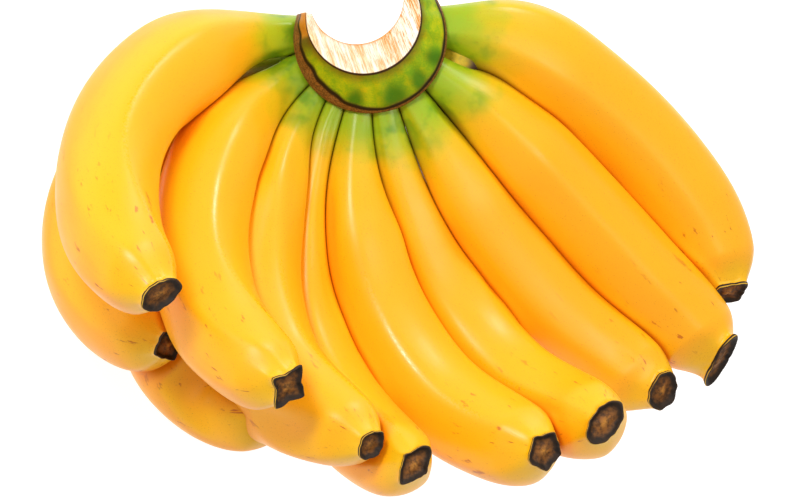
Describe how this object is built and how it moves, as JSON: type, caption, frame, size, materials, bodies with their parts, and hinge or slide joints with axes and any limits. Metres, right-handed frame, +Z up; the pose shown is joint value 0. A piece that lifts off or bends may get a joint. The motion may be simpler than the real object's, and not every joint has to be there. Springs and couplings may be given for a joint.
{
  "type": "bunch of bananas",
  "caption": "Hand of ripe yellow bananas on a green crescent crown with a pale cut face, lying on its back row with the blossom ends curling up.",
  "frame": {"origin": "on the table, under the middle of the bunch's bounding box", "axes": "+Z up from the table; +X along the longest extent, from the strongly curled bananas to the straighter ones; +Y towards the crown"},
  "size_m": [0.3198, 0.205, 0.1506],
  "materials": {
    "banana_skin": "waxy ripe skin, satin, golden yellow, greener at the neck and dark brown at the blossom end",
    "crown_rind": "mottled green rind with a brown leaf-scar rim and a pale fibrous cut face"
  },
  "bodies": {
    "root": {"crown": "crown_rind", "front_1": "banana_skin", "front_2": "banana_skin", "front_3": "banana_skin", "front_4": "banana_skin", "front_5": "banana_skin", "front_6": "banana_skin", "front_7": "banana_skin", "front_8": "banana_skin", "front_9": "banana_skin", "back_1": "banana_skin", "back_2": "banana_skin", "back_3": "banana_skin", "back_4": "banana_skin", "back_5": "banana_skin", "back_6": "banana_skin"}
  },
  "joints": []
}
